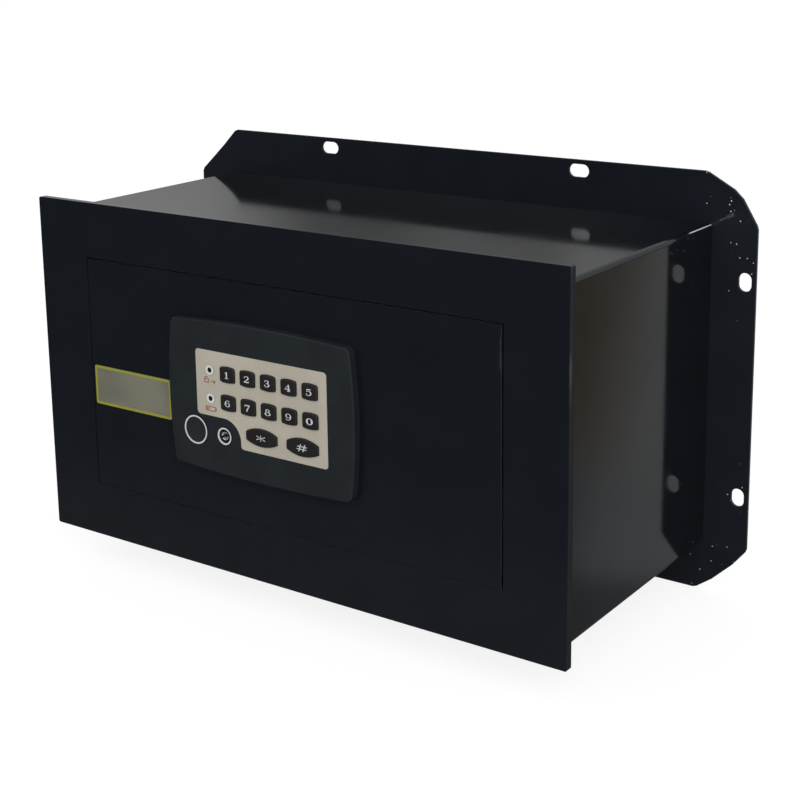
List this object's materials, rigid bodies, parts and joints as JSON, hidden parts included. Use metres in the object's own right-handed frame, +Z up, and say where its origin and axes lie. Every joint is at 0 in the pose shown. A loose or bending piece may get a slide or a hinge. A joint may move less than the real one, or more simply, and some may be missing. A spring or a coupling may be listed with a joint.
{
  "type": "built-in wall safe with electronic lock",
  "caption": "Wall safe with a front plate, a flush door on concealed gooseneck hinges, an electronic keypad, motor-driven round bolts and a slotted rear flange",
  "frame": {"origin": "centre of the flange's slot pattern, in the plane of the flange's back face", "axes": "X to the right across the front, Y from the front face towards the wall behind, Z up"},
  "size_m": [0.472, 0.2074, 0.288],
  "materials": {
    "black_paint": "smooth semi-gloss black powder coat",
    "inner_paint": "fine textured black paint",
    "dark_steel": "black oxide steel",
    "zinc_steel": "bright zinc plated steel",
    "bolt_steel": "nickel plated steel bar",
    "chrome_trim": "chrome plated brass",
    "brass_fittings": "turned brass",
    "badge_metal": "printed aluminium sheet, left bare",
    "housing_plastic": "satin dark grey moulding",
    "label_film": "matte printed film",
    "key_rubber": "moulded silicone rubber",
    "white_print": "white moulding",
    "dark_lens": "dark red lamp, unlit",
    "black_plastic": "black moulding",
    "gear_plastic": "natural nylon",
    "red_plastic": "red moulding",
    "circuit_board": "green solder mask",
    "cell_wrap": "plain wrapped cell",
    "wire_sleeve": "insulated wire"
  },
  "bodies": {
    "safe_body": {"body_shell": "black_paint", "back_panel": "black_paint", "front_plate": "black_paint", "door_stops": "black_paint", "hinge_brackets": "dark_steel", "hinge_pins": "zinc_steel"},
    "door": {"door_leaf": "black_paint", "hinge_arms": "dark_steel", "bolt_guide": "zinc_steel", "guide_studs": "zinc_steel", "cover_posts": "zinc_steel", "lock_cover": "inner_paint", "cover_screws": "zinc_steel", "keypad_housing": "housing_plastic", "keypad_label": "label_film", "key_board": "circuit_board", "status_lamps": "dark_lens", "lamp_rings": "white_print", "housing_screws": "zinc_steel", "cap_ring": "white_print", "power_socket": "chrome_trim", "socket_ring": "white_print", "badge_plate": "badge_metal", "lock_barrel": "chrome_trim", "lock_nut": "zinc_steel", "motor_bracket": "zinc_steel", "gear_motor": "black_plastic", "control_board": "circuit_board", "board_standoffs": "brass_fittings", "bolt_switch": "black_plastic", "battery_holder": "black_plastic", "batteries": "cell_wrap", "reset_switch": "black_plastic", "wiring": "wire_sleeve"},
    "bolt_work": {"bolt_carriage": "zinc_steel", "locking_bolts": "bolt_steel", "bolt_screws": "dark_steel"},
    "motor_pinion": {"drive_pinion": "gear_plastic"},
    "emergency_gear": {"override_gear": "brass_fittings", "gear_lug": "zinc_steel"},
    "lock_core": {"lock_plug": "brass_fittings", "lock_cam": "zinc_steel"},
    "cap": {"lock_cap": "housing_plastic"},
    "lid": {"battery_lid": "black_plastic"},
    "button_reset": {"reset_button": "red_plastic"},
    "button_1": {"key_1": "key_rubber"},
    "button_2": {"key_2": "key_rubber"},
    "button_3": {"key_3": "key_rubber"},
    "button_4": {"key_4": "key_rubber"},
    "button_5": {"key_5": "key_rubber"},
    "button_6": {"key_6": "key_rubber"},
    "button_7": {"key_7": "key_rubber"},
    "button_8": {"key_8": "key_rubber"},
    "button_9": {"key_9": "key_rubber"},
    "button_0": {"key_0": "key_rubber"},
    "button_star": {"key_star": "key_rubber"},
    "button_hash": {"key_hash": "key_rubber"}
  },
  "joints": [
    {"name": "door_hinge", "type": "hinge", "parent": "safe_body", "child": "door", "pos_m": [0.1805, -0.189, 0], "axis": [0, 0, 1], "range_deg": [0, 100]},
    {"name": "bolt_slide", "type": "slide", "parent": "door", "child": "bolt_work", "axis": [-1, 0, 0], "range_m": [0, 0.018]},
    {"name": "pinion_turn", "type": "hinge", "parent": "door", "child": "motor_pinion", "pos_m": [-0.06, -0.1815, 0.02585], "axis": [0, 1, 0], "range_deg": [0, 172]},
    {"name": "emergency_gear_turn", "type": "hinge", "parent": "door", "child": "emergency_gear", "pos_m": [-0.0656, -0.1815, -0.02165], "axis": [0, -1, 0], "range_deg": [0, 90]},
    {"name": "lock_plug_turn", "type": "hinge", "parent": "door", "child": "lock_core", "pos_m": [-0.0656, -0.1815, -0.02165], "axis": [0, 1, 0], "range_deg": [0, 90]},
    {"name": "cap_pull", "type": "slide", "parent": "door", "child": "cap", "axis": [0, -1, 0], "range_m": [0, 0.014]},
    {"name": "battery_lid_hinge", "type": "hinge", "parent": "door", "child": "lid", "pos_m": [0.092, -0.1542, 0.0326], "axis": [1, 0, 0], "range_deg": [0, 110]},
    {"name": "reset_press", "type": "slide", "parent": "door", "child": "button_reset", "axis": [0, -1, 0], "range_m": [0, 0.0015], "stiffness_N_per_m": 600, "springref_m": -0.001},
    {"name": "key_1_press", "type": "slide", "parent": "door", "child": "button_1", "axis": [0, 1, 0], "range_m": [0, 0.001], "stiffness_N_per_m": 900, "springref_m": -0.0005},
    {"name": "key_2_press", "type": "slide", "parent": "door", "child": "button_2", "axis": [0, 1, 0], "range_m": [0, 0.001], "stiffness_N_per_m": 900, "springref_m": -0.0005},
    {"name": "key_3_press", "type": "slide", "parent": "door", "child": "button_3", "axis": [0, 1, 0], "range_m": [0, 0.001], "stiffness_N_per_m": 900, "springref_m": -0.0005},
    {"name": "key_4_press", "type": "slide", "parent": "door", "child": "button_4", "axis": [0, 1, 0], "range_m": [0, 0.001], "stiffness_N_per_m": 900, "springref_m": -0.0005},
    {"name": "key_5_press", "type": "slide", "parent": "door", "child": "button_5", "axis": [0, 1, 0], "range_m": [0, 0.001], "stiffness_N_per_m": 900, "springref_m": -0.0005},
    {"name": "key_6_press", "type": "slide", "parent": "door", "child": "button_6", "axis": [0, 1, 0], "range_m": [0, 0.001], "stiffness_N_per_m": 900, "springref_m": -0.0005},
    {"name": "key_7_press", "type": "slide", "parent": "door", "child": "button_7", "axis": [0, 1, 0], "range_m": [0, 0.001], "stiffness_N_per_m": 900, "springref_m": -0.0005},
    {"name": "key_8_press", "type": "slide", "parent": "door", "child": "button_8", "axis": [0, 1, 0], "range_m": [0, 0.001], "stiffness_N_per_m": 900, "springref_m": -0.0005},
    {"name": "key_9_press", "type": "slide", "parent": "door", "child": "button_9", "axis": [0, 1, 0], "range_m": [0, 0.001], "stiffness_N_per_m": 900, "springref_m": -0.0005},
    {"name": "key_0_press", "type": "slide", "parent": "door", "child": "button_0", "axis": [0, 1, 0], "range_m": [0, 0.001], "stiffness_N_per_m": 900, "springref_m": -0.0005},
    {"name": "key_star_press", "type": "slide", "parent": "door", "child": "button_star", "axis": [0, 1, 0], "range_m": [0, 0.001], "stiffness_N_per_m": 900, "springref_m": -0.0005},
    {"name": "key_hash_press", "type": "slide", "parent": "door", "child": "button_hash", "axis": [0, 1, 0], "range_m": [0, 0.001], "stiffness_N_per_m": 900, "springref_m": -0.0005}
  ],
  "couplings": [
    {"joint": "pinion_turn", "follows": "bolt_slide", "rad_per_m": 166.67},
    {"joint": "emergency_gear_turn", "follows": "bolt_slide", "rad_per_m": 86.957}
  ]
}
